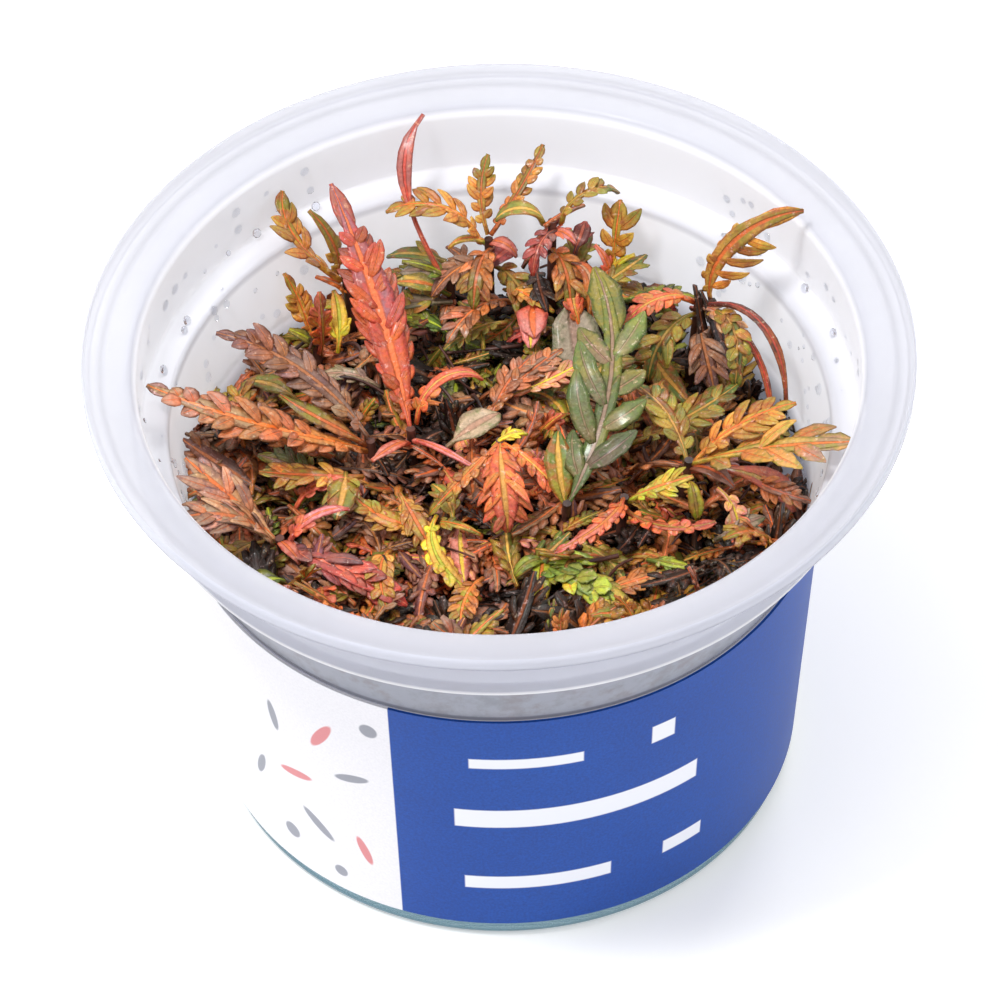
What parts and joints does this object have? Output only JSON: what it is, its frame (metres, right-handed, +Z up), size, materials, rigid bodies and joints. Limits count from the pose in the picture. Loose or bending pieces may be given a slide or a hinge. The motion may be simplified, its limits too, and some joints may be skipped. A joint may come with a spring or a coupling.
{
  "type": "tissue culture plant cup",
  "caption": "Open clear plastic culture cup with a plain printed sleeve, filled with reddish and green lobed aquarium plantlets on nutrient gel.",
  "frame": {"origin": "middle of the cup's base, on the surface the cup stands on", "axes": "+Z up the cup's axis to the open rim; -Y is the front, where the sleeve's white and blue panels meet left of the middle; +X is to the right of the front"},
  "size_m": [0.101, 0.101, 0.0694],
  "materials": {
    "cup": "clear frosted polypropylene, satin",
    "label": "printed film, satin",
    "gel": "wet, translucent",
    "undergrowth": "moist leaf, satin",
    "stem": "moist stem, satin",
    "leaf_red": "moist leaf, satin",
    "leaf_orange": "moist leaf, satin",
    "leaf_yellow": "moist leaf, satin",
    "leaf_olive": "moist leaf, satin",
    "leaf_green": "moist leaf, satin",
    "leaf_brown": "moist leaf, satin"
  },
  "bodies": {
    "root": {"cup": "cup", "label": "label", "leaf_back_1": "leaf_olive", "leaf_back_2": "leaf_orange", "leaf_back_3": "leaf_brown", "leaf_back_left_1": "leaf_olive", "leaf_back_left_2": "leaf_orange", "leaf_back_right_1": "leaf_olive", "leaf_back_right_2": "leaf_green", "leaf_centre_1": "leaf_red", "leaf_centre_2": "leaf_orange", "leaf_centre_3": "leaf_orange", "leaf_front_green_1": "leaf_green", "leaf_front_yellow_1": "leaf_yellow", "leaf_front_yellow_2": "leaf_orange", "leaf_green_1": "leaf_green", "leaf_green_2": "leaf_green", "leaf_left_1": "leaf_orange", "leaf_left_2": "leaf_brown", "leaf_left_3": "leaf_brown", "leaf_left_edge_1": "leaf_orange", "leaf_left_edge_2": "leaf_brown", "leaf_lower_left_1": "leaf_brown", "leaf_lower_left_2": "leaf_brown", "leaf_lower_left_3": "leaf_red", "leaf_lower_left_4": "leaf_red", "leaf_orange_right_1": "leaf_yellow", "leaf_orange_right_2": "leaf_red", "leaf_orange_right_3": "leaf_orange", "leaf_red_1": "leaf_red", "leaf_red_2": "leaf_red", "leaf_red_3": "leaf_orange", "leaf_right_1": "leaf_brown", "leaf_right_2": "leaf_olive", "leaf_right_3": "leaf_olive", "leaf_right_4": "leaf_yellow", "leaf_right_back_1": "leaf_olive", "leaf_right_back_2": "leaf_orange", "leaf_right_back_3": "leaf_green", "leaf_right_back_4": "leaf_brown", "leaf_strap_1": "leaf_red", "leaf_yellow_back_1": "leaf_yellow", "nutrient_gel": "gel", "stem_back": "stem", "stem_back_left": "stem", "stem_back_right": "stem", "stem_centre": "stem", "stem_front_green": "stem", "stem_front_yellow": "stem", "stem_green": "stem", "stem_left": "stem", "stem_left_edge": "stem", "stem_lower_left": "stem", "stem_orange_right": "stem", "stem_red": "stem", "stem_right": "stem", "stem_right_back": "stem", "stem_strap": "stem", "stem_yellow_back": "stem", "undergrowth": "undergrowth"}
  },
  "joints": []
}
